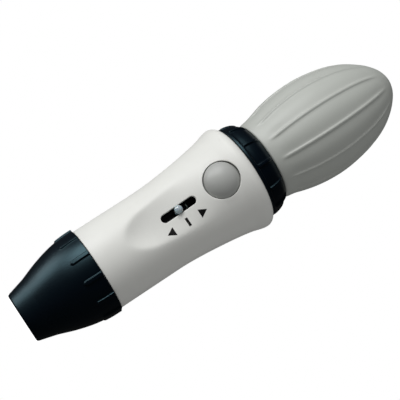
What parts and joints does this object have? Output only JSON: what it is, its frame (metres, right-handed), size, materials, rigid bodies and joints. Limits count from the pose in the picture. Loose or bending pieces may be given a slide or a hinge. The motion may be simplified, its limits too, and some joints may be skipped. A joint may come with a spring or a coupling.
{
  "type": "pipette pump",
  "caption": "Hand-held pipette pump: ribbed squeeze bulb, waisted grip with sliding valve lever and round thumb button, and a screwed nose cone that holds the pipette.",
  "frame": {"origin": "centre of the nose cone's end face, which the pump stands on", "axes": "+Z along the pump from the nose to the bulb, -Y out of the side with the lever and the button"},
  "size_m": [0.0556, 0.0556, 0.2177],
  "materials": {
    "navy_plastic": "fine satin moulding",
    "pale_housing": "satin moulding",
    "bulb_silicone": "matte",
    "button_grey": "soft matte",
    "stud_plastic": "polished",
    "black_plastic": "matte",
    "adapter_silicone": "matte",
    "filter_case": "translucent",
    "filter_membrane": "matte",
    "seal_rubber": "matte",
    "inner_plastic": "as moulded",
    "brass_parts": "turned",
    "steel_parts": "turned",
    "spring_steel": "drawn",
    "tube_silicone": "translucent"
  },
  "bodies": {
    "housing": {"nose_spigot": "inner_plastic", "filter_o_ring": "seal_rubber", "lower_tube": "tube_silicone", "front_shell": "pale_housing", "rear_shell": "pale_housing", "shell_screws": "steel_parts", "valve_block": "inner_plastic", "lower_spring_plug": "brass_parts", "upper_spring_plug": "brass_parts", "lower_centring_spring": "spring_steel", "upper_centring_spring": "spring_steel", "upper_tube": "tube_silicone", "exhaust_body": "inner_plastic", "exhaust_end_plug": "inner_plastic", "button_spring": "spring_steel", "bulb_spigot": "inner_plastic", "spigot_o_ring": "seal_rubber"},
    "nose_insert": {"pipette_adapter": "adapter_silicone", "filter_lower_half": "filter_case", "filter_upper_half": "filter_case", "filter_membrane": "filter_membrane"},
    "nose_cone": {"nose_cone": "navy_plastic"},
    "lever": {"valve_spool": "steel_parts", "spool_o_rings": "seal_rubber", "lever_stud": "stud_plastic", "slot_shield": "black_plastic"},
    "button": {"button_cap": "button_grey", "button_stem": "steel_parts", "exhaust_poppet": "seal_rubber"},
    "bulb": {"bulb": "bulb_silicone"},
    "bulb_collar": {"bulb_collar": "navy_plastic"}
  },
  "joints": [
    {"name": "lever_slide", "type": "slide", "parent": "housing", "child": "lever", "axis": [0, 0, 1], "range_m": [-0.006, 0.006], "stiffness_N_per_m": 400, "deforming": ["lower_centring_spring", "upper_centring_spring"]},
    {"name": "button_press", "type": "slide", "parent": "housing", "child": "button", "axis": [0, 0.9781, 0.2079], "range_m": [0, 0.0035], "stiffness_N_per_m": 500, "springref_m": -0.0005, "deforming": ["button_spring"]},
    {"name": "nose_travel", "type": "slide", "parent": "housing", "child": "nose_insert", "axis": [0, 0, -1], "range_m": [0, 0.006]},
    {"name": "nose_turn", "type": "hinge", "parent": "nose_insert", "child": "nose_cone", "pos_m": [0, 0, 0], "axis": [0, 0, -1], "range_deg": [0, 540]},
    {"name": "bulb_travel", "type": "slide", "parent": "housing", "child": "bulb", "axis": [0, 0, 1], "range_m": [0, 0.00375]},
    {"name": "collar_turn", "type": "hinge", "parent": "bulb", "child": "bulb_collar", "pos_m": [0, 0, 0.13], "axis": [0, 0, 1], "range_deg": [0, 450]}
  ],
  "couplings": [
    {"joint": "nose_travel", "follows": "nose_turn", "m_per_rad": 0.00063662},
    {"joint": "bulb_travel", "follows": "collar_turn", "m_per_rad": 0.00047746}
  ]
}
